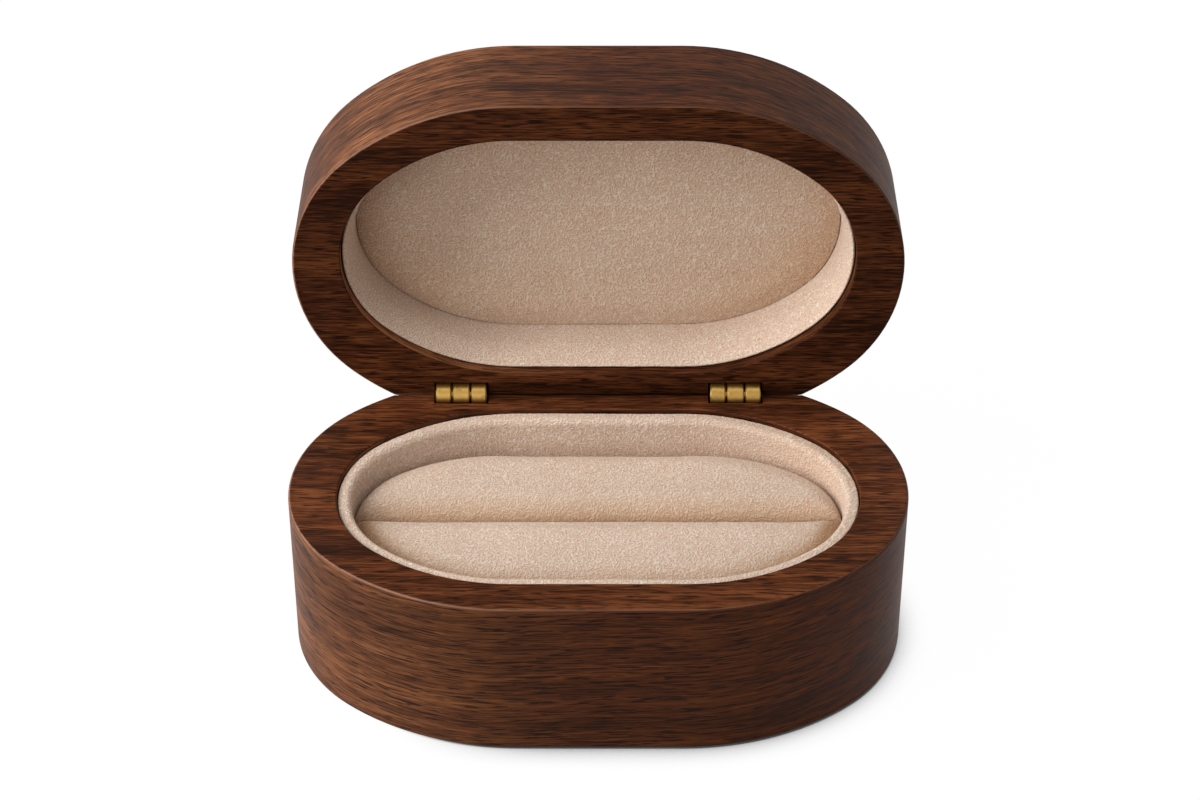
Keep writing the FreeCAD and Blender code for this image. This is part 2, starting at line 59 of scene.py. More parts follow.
def ovalPath(count, inset, turnFrom=0.0, turnTo=2 * math.pi, closed=True):
    # An oval of two flats, four shoulder arcs and two tip arcs, stepped evenly along its length at an inset.
    # Each point is its arc's centre plus (radius - inset) along the normal, so all insets share the steps.
    half, quarter = math.pi, math.pi / 2
    arcs = [
        ((tipX, 0), (tipX, 0), tipRadius, 0, joint),
        ((flatHalf, low), (flatHalf, low), shoulder, joint, quarter),
        ((flatHalf, low), (-flatHalf, low), shoulder, quarter, quarter),
        ((-flatHalf, low), (-flatHalf, low), shoulder, quarter, half - joint),
        ((-tipX, 0), (-tipX, 0), tipRadius, half - joint, half + joint),
        ((-flatHalf, -low), (-flatHalf, -low), shoulder, half + joint, 3 * quarter),
        ((-flatHalf, -low), (flatHalf, -low), shoulder, 3 * quarter, 3 * quarter),
        ((flatHalf, -low), (flatHalf, -low), shoulder, 3 * quarter, 2 * half - joint),
        ((tipX, 0), (tipX, 0), tipRadius, 2 * half - joint, 2 * half),
    ]
    share = np.linspace(0, 1, 400)
    columns = [np.concatenate([start[0] + (stop[0] - start[0]) * share for start, stop, _, _, _ in arcs]),
               np.concatenate([start[1] + (stop[1] - start[1]) * share for start, stop, _, _, _ in arcs]),
               np.concatenate([np.full_like(share, radius) for _, _, radius, _, _ in arcs]),
               np.concatenate([first + (last - first) * share for _, _, _, first, last in arcs])]
    keep = (columns[3] >= turnFrom - 1e-9) & (columns[3] <= turnTo + 1e-9)
    x, y, radius, turn = [column[keep] for column in columns]
    alongX, alongY = x + (radius - inset) * np.cos(turn), y + (radius - inset) * np.sin(turn)
    length = np.concatenate([[0], np.cumsum(np.hypot(np.diff(alongX), np.diff(alongY)))])
    steps = np.linspace(0, length[-1], count, endpoint=not closed)
    return [np.interp(steps, length, column) for column in (x, y, radius, turn)]


def ovalPoints(path, inset):
    # Points of the path at any inset, as x and y about the oval's middle
    x, y, radius, turn = path
    reach = radius[:, None] - np.atleast_1d(inset)[None, :]
    return x[:, None] + reach * np.cos(turn)[:, None], y[:, None] + reach * np.sin(turn)[:, None]


def ovalRoom(x, y):
    # Distance of inner points from the oval: to the flat, or the radius less the distance from an arc's centre
    x, y = np.abs(x), np.abs(y)
    bend = np.where(np.arctan2(y, x - tipX) < joint, tipRadius - np.hypot(x - tipX, y),
                    shoulder - np.hypot(x - flatHalf, y - low))
    return np.where(x <= flatHalf, halfWidth - y, bend)


def openLid(points):
    # Swings points drawn for the shut lid, measured from the hinge line, to the open lid
    swing = math.radians(ringBox["openAngle"])
    y, z = points[..., 1], points[..., 2]
    return np.stack([points[..., 0],
                     ringBox["hingeY"] + y * math.cos(swing) + z * math.sin(swing),
                     ringBox["hingeZ"] - y * math.sin(swing) + z * math.cos(swing)], -1)


def softNoise(points, wavelength, seed):
    # Values from -1 to 1 on a seeded lattice, blended between its corners by smooth steps
    table = np.random.default_rng(seed).uniform(-1, 1, (32, 32, 32))
    place = points / np.asarray(wavelength, float)
    cell = np.floor(place).astype(int)
    part = place - cell
    part = part * part * (3 - 2 * part)
    total = np.zeros(len(points))
    for corner in np.ndindex(2, 2, 2):
        weight = np.prod(np.where(np.array(corner) == 1, part, 1 - part), axis=1)
        index = (cell + np.array(corner)) % 32
        total += weight * table[index[:, 0], index[:, 1], index[:, 2]]
    return total


def gridFaces(rows, columns, closeRows=True, closeColumns=True):
    # Quads of a grid of points, joined round where it closes
    a, b = np.meshgrid(np.arange(rows if closeRows else rows - 1),
                       np.arange(columns if closeColumns else columns - 1), indexing="ij")
    c, d = (a + 1) % rows, (b + 1) % columns
    return np.stack([a * columns + b, c * columns + b, c * columns + d, a * columns + d], -1).reshape(-1, 4)


def outward(points, faces):
    # Turns the faces over where the volume they close comes out negative
    p = points[faces]
    volume = np.einsum("ij,ij->i", p[:, 0], np.cross(p[:, 1], p[:, 2])).sum()
    volume += np.einsum("ij,ij->i", p[:, 0], np.cross(p[:, 2], p[:, 3])).sum()
    return faces if volume > 0 else faces[:, ::-1]


def makeMesh(name, points, faces):
    # Points in millimetres and quads into a smooth mesh in metres; a quad with a doubled corner is a triangle
    faces = outward(points, faces)
    doubled = (faces == np.roll(faces, -1, axis=1))
    quads = faces[~doubled.any(1)]
    corners = [quads.ravel()]
    counts = [np.full(len(quads), 4)]
    pinched = faces[doubled.any(1)]
    if len(pinched):
        corners.append(pinched[~doubled[doubled.any(1)]])
        counts.append(np.full(len(pinched), 3))
    corners, counts = np.concatenate(corners), np.concatenate(counts)
    mesh = bpy.data.meshes.new(name)
    mesh.vertices.add(len(points))
    mesh.vertices.foreach_set("co", (points * mm).astype(np.float32).ravel())
    mesh.loops.add(len(corners))
    mesh.loops.foreach_set("vertex_index", corners.astype(np.int32))
    mesh.polygons.add(len(counts))
    mesh.polygons.foreach_set("loop_start", np.concatenate([[0], np.cumsum(counts)[:-1]]).astype(np.int32))
    mesh.update(calc_edges=True)
    mesh.validate()
    mesh.polygons.foreach_set("use_smooth", np.ones(len(mesh.polygons), bool))
    return mesh


def addPiece(name, mesh, material):
    piece = bpy.data.objects.new(name, mesh)
    scene.collection.objects.link(piece)
    mesh.materials.append(material)
    return piece


def meshPoints(mesh, normals=False):
    flat = np.empty(len(mesh.vertices) * 3, np.float32)
    if normals:
        mesh.vertex_normals.foreach_get("vector", flat)
        return flat.reshape(-1, 3).astype(float)
    mesh.vertices.foreach_get("co", flat)
    return flat.reshape(-1, 3).astype(float) / mm


def raiseNap(mesh, nap):
    # Moves each point along its normal by three sizes of noise: unevenness, tufts and fibres
    points, normals = meshPoints(mesh), meshPoints(mesh, normals=True)
    lift = sum(height * softNoise(points, wavelength, seed) for wavelength, height, seed in nap)
    mesh.vertices.foreach_set("co", ((points + normals * lift[:, None]) * mm).astype(np.float32).ravel())
    mesh.update()


def paintLightAndShade(mesh, tone):
    # Painted light and shade at each point, a brightness for the suede to read
    mesh.attributes.new("paintedLight", "FLOAT", "POINT").data.foreach_set("value", tone.astype(np.float32))


def inflate(points, faces, held, swell):
    # Cloth under pressure with gravity off, at a larger scale; held points are pinned, and moves are capped
    mesh = makeMesh("inflating", points * swell["scale"], faces)
    cushion = bpy.data.objects.new("inflating", mesh)
    scene.collection.objects.link(cushion)
    cushion.vertex_groups.new(name="held").add(np.flatnonzero(held).tolist(), 1.0, "REPLACE")
    cloth = cushion.modifiers.new("cloth", "CLOTH")
    cloth.settings.quality = 8
    cloth.settings.mass = swell["mass"]
    cloth.settings.tension_stiffness = swell["stiffness"]
    cloth.settings.compression_stiffness = swell["stiffness"]
    cloth.settings.shear_stiffness = swell["stiffness"]
    cloth.settings.bending_stiffness = swell["bending"]
    cloth.settings.use_pressure = True
    cloth.settings.uniform_pressure_force = swell["pressure"]
    cloth.settings.effector_weights.gravity = 0.0
    cloth.settings.vertex_group_mass = "held"
    cloth.collision_settings.use_collision = False
    cloth.point_cache.frame_start, cloth.point_cache.frame_end = 1, swell["frames"]
    for number in range(1, swell["frames"] + 1):
        scene.frame_set(number)
    swollen = cushion.evaluated_get(bpy.context.evaluated_depsgraph_get())
    moved = meshPoints(swollen.data) / swell["scale"] - points
    bpy.data.objects.remove(cushion)
    bpy.data.meshes.remove(mesh)
    scene.frame_set(1)
    length = np.linalg.norm(moved, axis=1)
    print("  swelled by up to", round(float(length.max()), 2), "mm, mean", round(float(length.mean()), 2))
    return points + moved * np.minimum(1, swell["cap"] / np.maximum(length, 1e-9))[:, None]


def subdivide(mesh, levels):
    # Rounds a mesh by subdivision and hands back the finer mesh
    holder = bpy.data.objects.new("subdividing", mesh)
    scene.collection.objects.link(holder)
    finer = holder.modifiers.new("finer", "SUBSURF")
    finer.levels = finer.render_levels = levels
    rounded = bpy.data.meshes.new_from_object(holder.evaluated_get(bpy.context.evaluated_depsgraph_get()))
    bpy.data.objects.remove(holder)
    return rounded


def nodeMaker(owner):
    # Empties the node tree of a material or world, and hands back the function that adds nodes to it
    owner.use_nodes = True
    tree = owner.node_tree
    tree.nodes.clear()

    def make(kind, inputs=None, **settings):
        # One node: inputs that are sockets get linked, and the rest are set
        node = tree.nodes.new("ShaderNode" + kind)
        for key, setting in settings.items():
            setattr(node, key, setting)
        for key, given in (inputs or {}).items():
            if isinstance(given, bpy.types.NodeSocket):
                tree.links.new(given, node.inputs[key])
            else:
                node.inputs[key].default_value = given
        return node

    return make


def newMaterial(name):
    material = bpy.data.materials.new(name)
    return material, nodeMaker(material)


def ramp(make, factor, stops):
    node = make("ValToRGB", {"Fac": factor})
    node.color_ramp.elements[0].position, node.color_ramp.elements[0].color = stops[0][0], (*stops[0][1], 1)
    node.color_ramp.elements[1].position, node.color_ramp.elements[1].color = stops[-1][0], (*stops[-1][1], 1)
    for place, color in stops[1:-1]:
        node.color_ramp.elements.new(place).color = (*color, 1)
    return node.outputs["Color"]


def combine(make, operation, a, b):
    return make("Math", {0: a, 1: b}, operation=operation).outputs[0]


def between(make, given, low, high, fromLow, fromHigh, step="SMOOTHSTEP"):
    # Step of a value from one range to another, smooth or straight
    return make("MapRange", {"Value": given, "From Min": fromLow, "From Max": fromHigh,
                             "To Min": low, "To Max": high}, interpolation_type=step).outputs[0]


def seenRay(make):
    # One for camera rays, mirror rays and rays through clear things, and nought for the rest
    path = make("LightPath").outputs
    seen = combine(make, "MAXIMUM", path["Is Camera Ray"], path["Is Glossy Ray"])
    return combine(make, "MAXIMUM", seen, path["Is Transmission Ray"])


def mixColor(make, factor, a, b, blend="MIX"):
    node = make("Mix", data_type="RGBA", blend_type=blend)
    tree = node.id_data
    for socket, given in ((node.inputs[0], factor), (node.inputs[6], a), (node.inputs[7], b)):
        if isinstance(given, bpy.types.NodeSocket):
            tree.links.new(given, socket)
        else:
            socket.default_value = given if isinstance(given, float) else (*given, 1)
    return node.outputs[2]


walnut = {
    "dark": (0.028, 0.0080, 0.0028), "middle": (0.088, 0.0245, 0.0080), "light": (0.185, 0.056, 0.0180),
    "pore": (0.015, 0.0045, 0.002), "edgeHighlight": (0.30, 0.155, 0.10), "rimLeftSheen": 1.2,
    "alongShare": 0.055, "tilt": 0.035,
    "bands": (0.12, 3.0, 0.55, 1.2, 0.6), "lines": (0.55, 4.0, 0.60, 0.8, 0.3),
    "fine": (1.9, 3.0, 0.6, 1.05, 0.2), "pores": (3.0, 1.5, 0.5, 1.0, 0.2),
    "bandShare": 0.55, "lineShare": 0.45, "stops": (0.31, 0.50, 0.71), "poreEdge": (0.54, 0.61), "poreShare": 0.92,
    "rimDepth": (0.20, 0.60), "faceMargin": (1.0, 0.3), "leftRun": (-70.0, 10.0), "leftTip": (-76.0, -52.0),
    "rightRun": (20.0, 62.0), "highlightOuter": (0.86, 0.95), "highlightFrom": (0.04, 0.16), "highlightTo": (0.28, 0.62),
    "highlightRun": (-50.0, 10.0), "highlightRight": 0.25, "highlightLines": (0.45, 1.0, 0.35, 0.65),
    "roughness": 0.48, "roughSpread": 0.12, "fineHeight": 0.25, "poreHeight": 0.7, "bump": 0.35,
    "bumpDistance": 0.00006,
    # The tones below paint light and shade: side and rim darken the walls and flat faces for how light falls on them,
    # and the end factors paint sheen and light towards the left end, greyer there, and towards the right
    "baseTone": {"side": 0.83, "rim": 0.81, "pale": (1.95, 2.5, 3.1), "tip": 1.0, "specular": 0.07,
                 "right": (1.18, 1.13, 1.02), "rimRight": 1.27, "fine": 0.64, "rimContrast": 1.6},
    "lidTone": {"side": 0.84, "rim": 0.60, "pale": (2.8, 3.8, 5.1), "tip": 0.1, "specular": 0.04,
                "right": (1.2, 1.36, 1.42), "rimRight": 1.0, "fine": 0.90, "rimContrast": 1.2},
}


def walnutMaterial(name, height, location, rotation, flip, offset, tone):
    # Walnut in its own half's axes, in millimetres: x along the box, y across it, z the depth from the rim.
    # Streaks run along x on rims and flat faces, and round the walls on the sides.
    material, make = newMaterial(name)
    place = make("Mapping", {"Vector": make("TexCoord").outputs["Object"], "Location": location,
                             "Rotation": (rotation, 0, 0), "Scale": (1000, 1000, -1000 if flip else 1000)})
    parts = make("SeparateXYZ", {0: place.outputs[0]}).outputs
    x, y, depth = parts[0], parts[1], parts[2]
    rim = between(make, depth, 1.0, 0.0, *walnut["rimDepth"])
    face = between(make, depth, 0.0, 1.0, *[height - margin for margin in walnut["faceMargin"]])
    plane = combine(make, "MAXIMUM", rim, face)
    side = combine(make, "SUBTRACT", 1.0, plane)
    alongX = combine(make, "MULTIPLY", x, walnut["alongShare"])
    alongY = combine(make, "MULTIPLY", combine(make, "MULTIPLY", y, walnut["alongShare"]), side)
    sideAcross = combine(make, "ADD", depth, combine(make, "MULTIPLY", x, walnut["tilt"]))
    across = make("Mix", {0: plane, 2: sideAcross, 3: y}, data_type="FLOAT").outputs[0]
    grain = make("CombineXYZ", {0: combine(make, "ADD", alongX, offset), 1: alongY, 2: across}).outputs[0]

    def streaks(scale, detail, roughness, stretch, distortion):
        stretched = make("Mapping", {"Vector": grain, "Scale": (stretch, stretch, 1)}).outputs[0]
        return make("TexNoise", {"Vector": stretched, "Scale": scale, "Detail": detail, "Roughness": roughness,
                                 "Distortion": distortion}).outputs["Fac"]

    bands, lines, fine, pores = [streaks(*walnut[key]) for key in ("bands", "lines", "fine", "pores")]
    # A weighted sum of the streaks, with more contrast on the rims, picks the colour between dark and light
    mixed = combine(make, "ADD", combine(make, "MULTIPLY", bands, walnut["bandShare"]),
                    combine(make, "MULTIPLY", lines, walnut["lineShare"]))
    fromMiddle = combine(make, "MULTIPLY", combine(make, "SUBTRACT", fine, 0.5), tone["fine"])
    fromMiddle = combine(make, "SUBTRACT", combine(make, "ADD", mixed, fromMiddle), 0.5)
    contrast = make("Mix", {0: plane, 2: 1.0, 3: tone["rimContrast"]}, data_type="FLOAT").outputs[0]
    mixed = combine(make, "ADD", combine(make, "MULTIPLY", fromMiddle, contrast), 0.5)
    color = ramp(make, mixed, list(zip(walnut["stops"], (walnut["dark"], walnut["middle"], walnut["light"]))))
    poreMask = between(make, pores, 0.0, walnut["poreShare"], *walnut["poreEdge"])
    color = mixColor(make, poreMask, color, walnut["pore"])
    # Painted light and shade: the block is painted paler towards its left end, greyer there on the walls, and a little
    # paler towards its right, standing in for sheen and light from the lamps; its flat faces are painted darker for how
    # light falls on them
    leftSheenShare = combine(make, "MULTIPLY", between(make, x, 1.0, 0.0, *walnut["leftRun"]),
                     between(make, x, tone["tip"], 1.0, *walnut["leftTip"]))
    rimPaintedLight = mixColor(make, leftSheenShare, (tone["rim"],) * 3, (tone["rim"] * walnut["rimLeftSheen"],) * 3)
    sidePaintedLight = mixColor(make, leftSheenShare, (tone["side"],) * 3, [tone["side"] * part for part in tone["pale"]])
    rightSheenShare = between(make, x, 0.0, 1.0, *walnut["rightRun"])
    rimPaintedLight = mixColor(make, rightSheenShare, rimPaintedLight, (tone["rim"] * tone["rimRight"],) * 3)
    sidePaintedLight = mixColor(make, rightSheenShare, sidePaintedLight, [tone["side"] * part for part in tone["right"]])
    color = mixColor(make, 1.0, color, mixColor(make, side, rimPaintedLight, sidePaintedLight), "MULTIPLY")
    # Painted highlight along the outer rim's rounded edge, found by an ellipse through the ends and sides, and
    # strongest on the lit left
    ring = combine(make, "ADD",
                   combine(make, "MULTIPLY", combine(make, "MULTIPLY", x, x), 1 / (ringBox["length"] / 2) ** 2),
                   combine(make, "MULTIPLY", combine(make, "MULTIPLY", y, y), 1 / halfWidth ** 2))
    outer = between(make, ring, 0.0, 1.0, *walnut["highlightOuter"])
    edge = combine(make, "MULTIPLY", between(make, depth, 0.0, 1.0, *walnut["highlightFrom"]),
                   between(make, depth, 1.0, 0.0, *walnut["highlightTo"]))
    edgeHighlight = combine(make, "MULTIPLY", combine(make, "MULTIPLY", edge, outer),
                   between(make, x, 1.0, walnut["highlightRight"], *walnut["highlightRun"]))
    edgeHighlight = combine(make, "MULTIPLY", edgeHighlight, between(make, lines, *walnut["highlightLines"]))
    color = mixColor(make, edgeHighlight, color, walnut["edgeHighlight"])
    spread = walnut["roughSpread"]
    rough = combine(make, "ADD", combine(make, "MULTIPLY", lines, spread), walnut["roughness"] - spread / 2)
    relief = combine(make, "SUBTRACT", combine(make, "MULTIPLY", fine, walnut["fineHeight"]),
                     combine(make, "MULTIPLY", poreMask, walnut["poreHeight"]))
    bump = make("Bump", {"Height": relief, "Strength": walnut["bump"],
                         "Distance": walnut["bumpDistance"]}).outputs[0]
    shader = make("BsdfPrincipled", {"Base Color": color, "Roughness": rough, "Normal": bump,
                                     "Specular IOR Level": tone["specular"]})
    make("OutputMaterial", {"Surface": shader.outputs[0]})
    return material


suede = {
    "pale": (0.72, 0.562, 0.446), "deep": (0.63, 0.477, 0.365), "blotch": 26.0,
    "napScale": 1300.0, "curlWidth": 0.13, "napContrast": 0.10, "napHeight": 0.00007,
    "tuftShare": 0.4, "tuftScale": 0.3, "relief": 0.30, "paintedLightShift": (-0.00013, 0.00013, 0.00013),
    "shadePowers": (0.45, 1.0, 1.3), "padPaintedBounceTint": (1.0, 0.972, 0.925),
    "paintedShadeTint": (1.0, 0.71, 0.40), "paintedShadeRun": (0.5, 0.92),
    "roughness": 0.95, "specular": 0.12, "sheen": 0.25, "sheenRoughness": 0.6, "sheenTint": (0.95, 0.86, 0.76),
}


def suedeMaterial(name, tint=(1.0, 1.0, 1.0)):
    # Short curly nap: ridges along the middle level of a noise, over broad soft blotches of tone; each curl's flank
    # towards the light is painted brighter and the other darker, by the ridge less the same ridge a little further on,
    # and darker nap, painted shade included, is warmer than lighter, by a power of its own for each colour
    material, make = newMaterial(name)
    place = make("TexCoord").outputs["Object"]
    blotch = make("TexNoise", {"Vector": place, "Scale": 1000 / suede["blotch"], "Detail": 4.0, "Roughness": 0.6,
                               "Distortion": 0.4}).outputs["Fac"]

    def curls(vector):
        noise = make("TexNoise", {"Vector": vector, "Scale": suede["napScale"], "Detail": 0.5, "Distortion": 0.5})
        away = combine(make, "SUBTRACT", noise.outputs["Fac"], 0.5)
        away = make("Math", {0: away}, operation="ABSOLUTE").outputs[0]
        return between(make, away, 1.0, 0.0, 0.0, suede["curlWidth"])

    curl = curls(place)
    # Painted light and shade on the curls: the same ridges shifted a little towards the light, taken from the ridge
    shifted = make("Mapping", {"Vector": place, "Location": suede["paintedLightShift"]}).outputs[0]
    relief = combine(make, "SUBTRACT", curl, curls(shifted))
    tuft = make("TexNoise", {"Vector": place, "Scale": suede["napScale"] * suede["tuftScale"],
                             "Detail": 2.0}).outputs["Fac"]
    deep, pale = [[part * share for part, share in zip(suede[key], tint)] for key in ("deep", "pale")]
    color = mixColor(make, between(make, blotch, 0.25, 0.75, 0.30, 0.70), deep, pale)
    shade = combine(make, "ADD", combine(make, "MULTIPLY", curl, 1 - suede["tuftShare"]),
                    combine(make, "MULTIPLY", tuft, suede["tuftShare"]))
    shade = between(make, shade, 1 - suede["napContrast"], 1 + suede["napContrast"], 0.2, 0.8)
    shade = combine(make, "ADD", shade, combine(make, "MULTIPLY", relief, suede["relief"]))
    tone = make("CombineColor", {part: combine(make, "POWER", shade, suede["shadePowers"][part])
                                 for part in range(3)}).outputs[0]
    color = mixColor(make, 1.0, color, tone, "MULTIPLY")
    # The mesh carries painted light and shade as a brightness; where it is painted dark it is also painted warmer
    paintedLight = make("Attribute", attribute_name="paintedLight").outputs["Fac"]
    warmth = between(make, paintedLight, 1.0, 0.0, *suede["paintedShadeRun"], "LINEAR")
    warm = mixColor(make, warmth, (1.0, 1.0, 1.0), suede["paintedShadeTint"])
    color = mixColor(make, 1.0, color, warm, "MULTIPLY")
    color = mixColor(make, 1.0, color, make("CombineColor", {0: paintedLight, 1: paintedLight, 2: paintedLight}).outputs[0], "MULTIPLY")
    bump = make("Bump", {"Height": curl, "Strength": 1.0, "Distance": suede["napHeight"]}).outputs[0]
    shader = make("BsdfPrincipled", {"Base Color": color, "Normal": bump, "Roughness": suede["roughness"],
                                     "Specular IOR Level": suede["specular"], "Sheen Weight": suede["sheen"],
                                     "Sheen Roughness": suede["sheenRoughness"],
                                     "Sheen Tint": (*suede["sheenTint"], 1)})
    make("OutputMaterial", {"Surface": shader.outputs[0]})
    return material


brass = {"color": (0.385, 0.232, 0.064), "tarnish": (0.24, 0.14, 0.04), "tarnishEdge": (0.52, 0.72),
         "lines": (9000, 500, 500), "patches": 700.0, "roughness": 0.32, "roughSpread": 0.16}


def brassMaterial(name):
    # Satin brass, turned across the barrel, a little tarnished in patches
    material, make = newMaterial(name)
    place = make("TexCoord").outputs["Object"]
    turned = make("Mapping", {"Vector": place, "Scale": brass["lines"]}).outputs[0]
    lines = make("TexNoise", {"Vector": turned, "Scale": 1.0, "Detail": 2.0}).outputs["Fac"]
    patch = make("TexNoise", {"Vector": place, "Scale": brass["patches"], "Detail": 4.0,
                              "Roughness": 0.65}).outputs["Fac"]
    color = mixColor(make, between(make, patch, 0.0, 1.0, *brass["tarnishEdge"]), brass["color"], brass["tarnish"])
    rough = combine(make, "ADD", combine(make, "MULTIPLY", lines, brass["roughSpread"]), brass["roughness"] - 0.06)
    bump = make("Bump", {"Height": lines, "Strength": 0.2, "Distance": 0.00003}).outputs[0]
    shader = make("BsdfPrincipled", {"Base Color": color, "Roughness": rough, "Normal": bump, "Metallic": 1.0})
    make("OutputMaterial", {"Surface": shader.outputs[0]})
    return material


card = {"dark": (0.30, 0.245, 0.19), "light": (0.47, 0.41, 0.33), "flecks": 1400.0}


def cardMaterial(name):
    # Grey-brown board with flecks of fibre
    material, make = newMaterial(name)
    place = make("TexCoord").outputs["Object"]
    fleck = make("TexNoise", {"Vector": place, "Scale": card["flecks"], "Detail": 3.0, "Roughness": 0.7}).outputs["Fac"]
    color = mixColor(make, between(make, fleck, 0.0, 1.0, 0.35, 0.70), card["dark"], card["light"])
    bump = make("Bump", {"Height": fleck, "Strength": 0.3, "Distance": 0.0001}).outputs[0]
    shader = make("BsdfPrincipled", {"Base Color": color, "Normal": bump, "Roughness": 0.9})
    make("OutputMaterial", {"Surface": shader.outputs[0]})
    return material


swing = math.radians(ringBox["openAngle"])
baseWalnut = walnutMaterial("baseWalnut", ringBox["baseHeight"], (0, 0, ringBox["baseHeight"]), 0.0, True, 3.0,
                            walnut["baseTone"])
lidShift = (0.0,
            ringBox["hingeY"] - ringBox["hingeY"] * math.cos(swing) + ringBox["hingeZ"] * math.sin(swing),
            -ringBox["rimOffset"] - ringBox["hingeY"] * math.sin(swing) - ringBox["hingeZ"] * math.cos(swing))
lidWalnut = walnutMaterial("lidWalnut", ringBox["lidHeight"], lidShift, swing, False, 41.0,
                           walnut["lidTone"])
suedeNap = suedeMaterial("suedeNap")
# The pad's copy of the suede is tinted warmer, painted light bounced inside the lid
padNapPaintedBounce = suedeMaterial("padNapPaintedBounce", suede["padPaintedBounceTint"])
satinBrass = brassMaterial("satinBrass")
greyCard = cardMaterial("greyCard")


def dress(node, material):
    slots = cadNodes[node].data.materials
    slots.clear()
    slots.append(material)


dress("base_body", baseWalnut)
dress("lid_body", lidWalnut)
for node in cadNodes:
    if "hinge" in node:
        dress(node, satinBrass)
    if "card" in node:
        dress(node, greyCard)
print("wood, brass and card finished")


# Wall linings: a folded strip carried round the oval, with a slot for its card; the base's edge is padded and round,
# and the lid's edge is thin and slopes to its full thickness
lining = {
    "outer": 12.15, "slotOuter": 12.85, "slotInner": 13.85, "fold": 0.35, "steps": 860, "edgeSag": 0.12,
    "base": {"inner": 15.35, "across": 1.4, "along": 1.4, "rearAcross": 1.6, "rearAlong": 1.6, "power": 2.0,
             "top": 1.0, "slotTop": 2.6, "floor": 37.4, "rearPaintedShade": 0.07, "rightPaintedShade": 0.09},
    "lid": {"inner": 14.45, "across": 1.85, "along": 8.0, "rearAcross": 1.85, "rearAlong": 8.0, "power": 1.15,
            "top": 2.9, "slotTop": 10.9, "floor": 25.1, "rearPaintedShade": 0.0, "rightPaintedShade": 0.0},
    "backSteps": 7, "foldSteps": 5, "flatSteps": 6, "edgeSteps": 26, "nearSteps": 18, "nearRun": 7, "farSteps": 12,
    "sagReach": 6.0, "sagWave": 22.0, "rightAt": 60.0,
    "nap": [(14.0, 0.06, 11), (1.6, 0.02, 12), (0.8, 0.025, 13)],
}


def liningProfile(shape, across, along):
    # Closed section as inset and depth: up the back, over the fold, along the edge's curve, down the face, round the
    # slot. The edge is a quarter of a superellipse, so that power 2 is round and power 1 is a straight slope.
    fold, top, floor, inner = lining["fold"], shape["top"], shape["floor"], shape["inner"]
    small = np.linspace(0, math.pi / 2, lining["foldSteps"])
    large = np.linspace(0, math.pi / 2, lining["edgeSteps"])
    flat = np.linspace(lining["outer"] + fold, inner - across, lining["flatSteps"])[1:-1]
    edgeEnd = top + along
    nearEnd = edgeEnd + lining["nearRun"]
    skinDepth = np.concatenate([np.linspace(edgeEnd, nearEnd, lining["nearSteps"])[1:],
                                np.linspace(nearEnd, floor, lining["farSteps"])[1:]])
    curve = 2 / shape["power"]
    back = lining["backSteps"]
    inset = np.concatenate([np.full(back, lining["outer"]), lining["outer"] + fold * (1 - np.cos(small)), flat,
                            inner - across * (1 - np.sin(large) ** curve), np.full(len(skinDepth), inner),
                            np.full(back, lining["slotInner"]), np.full(back, lining["slotOuter"])])
    depth = np.concatenate([np.linspace(floor, top + fold, back + 1)[:-1], top + fold * (1 - np.sin(small)),
                            np.full(len(flat), top), top + along * (1 - np.cos(large) ** curve), skinDepth,
                            np.linspace(floor, shape["slotTop"], back), np.linspace(shape["slotTop"], floor, back)])
    return np.stack([inset, depth])


def makeLining(name, half, seed):
    shape = lining[half]
    top = shape["top"]
    path = ovalPath(lining["steps"], shape["inner"])
    front = liningProfile(shape, shape["across"], shape["along"])
    rear = liningProfile(shape, shape["rearAcross"], shape["rearAlong"])
    # The edge is rounder towards the rear, where the strip was pulled over it
    blend = np.clip(0.5 + np.sin(path[3]), 0, 1)[None, :, None]
    inset, depth = front[:, None, :] * (1 - blend) + rear[:, None, :] * blend
    reach = path[2][:, None] - inset
    x = path[0][:, None] + reach * np.cos(path[3])[:, None]
    y = path[1][:, None] + reach * np.sin(path[3])[:, None]
    # The padded edge sags a little here and there, most at the very top
    around = np.stack([x[:, 0], y[:, 0], np.zeros(len(x))], -1)
    sag = lining["edgeSag"] * (1 + softNoise(around, lining["sagWave"], seed)) / 2
    depth += sag[:, None] * np.clip(1 - (depth - top) / lining["sagReach"], 0, 1)
    if half == "base":
        points = np.stack([x, y + ringBox["pocketY"], ringBox["baseHeight"] - depth], -1)
    else:
        points = openLid(np.stack([x, y + ringBox["pocketY"] - ringBox["hingeY"],
                                   ringBox["rimOffset"] + depth], -1))
    mesh = makeMesh(name, points.reshape(-1, 3), gridFaces(*x.shape))
    raiseNap(mesh, lining["nap"])
    # Painted shade: darker at the rear and towards the right
    toRear = np.clip(1.5 * np.sin(path[3]), 0, 1)[:, None]
    paintedLight = (1 - shape["rearPaintedShade"] * toRear) * (1 - shape["rightPaintedShade"] * x / lining["rightAt"])
    paintLightAndShade(mesh, paintedLight.ravel())
    piece = addPiece(name, mesh, suedeNap)
    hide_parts(half + "_wall_suede")
    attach(piece, half)


makeLining("baseLining", "base", 21)
makeLining("lidLining", "lid", 22)
print("wall linings made")


